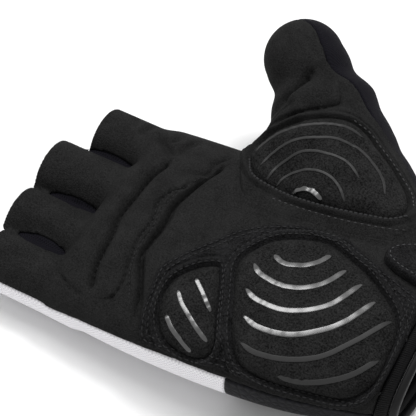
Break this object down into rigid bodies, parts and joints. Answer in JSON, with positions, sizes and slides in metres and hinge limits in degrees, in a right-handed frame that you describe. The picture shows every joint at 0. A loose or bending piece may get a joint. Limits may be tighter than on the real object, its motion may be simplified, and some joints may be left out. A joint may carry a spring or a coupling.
{
  "type": "half-finger cycling glove",
  "caption": "Right-hand half-finger cycling glove with a suede palm, padded heel and thumb cushions with raised silicone arcs, a mesh back and an elastic wrist.",
  "frame": {"origin": "on the back of the glove where it rests, under the palm between the index finger and the thumb", "axes": "+X towards the wrist, +Y towards the thumb, +Z out of the palm"},
  "size_m": [0.152, 0.1359, 0.0521],
  "materials": {
    "suede": "synthetic suede, matt and softly napped",
    "suede_patch": "synthetic suede overlay with a double-stitched rim",
    "suede_pad": "synthetic suede over foam",
    "stretch_fabric": "dark navy knitted stretch fabric",
    "mesh_fabric": "white fine air mesh",
    "ripstop_fabric": "dark navy ripstop weave",
    "ribbed_elastic": "black ribbed elastic",
    "binding_tape": "smooth black folded binding",
    "silicone": "glossy printed silicone"
  },
  "bodies": {
    "root": {"palm_panel": "suede", "thumb_panel": "suede", "heel_patch": "suede_patch", "heel_pad_large": "suede_pad", "heel_pad_small": "suede_pad", "thenar_pad": "suede_pad", "closure_tab": "suede_patch", "fourchette_index_middle": "stretch_fabric", "fourchette_middle_ring": "stretch_fabric", "fourchette_ring_little": "stretch_fabric", "thumb_back": "stretch_fabric", "back_panel": "mesh_fabric", "back_cuff": "ripstop_fabric", "cuff_elastic": "ribbed_elastic", "cuff_binding": "binding_tape", "heel_grip_1": "silicone", "heel_grip_2": "silicone", "heel_grip_3": "silicone", "heel_grip_4": "silicone", "heel_grip_5": "silicone", "heel_grip_6": "silicone", "side_grip_1": "silicone", "side_grip_2": "silicone", "side_grip_3": "silicone", "thenar_grip_1": "silicone", "thenar_grip_2": "silicone", "thenar_grip_3": "silicone", "thenar_grip_4": "silicone", "thenar_grip_5": "silicone"}
  },
  "joints": []
}
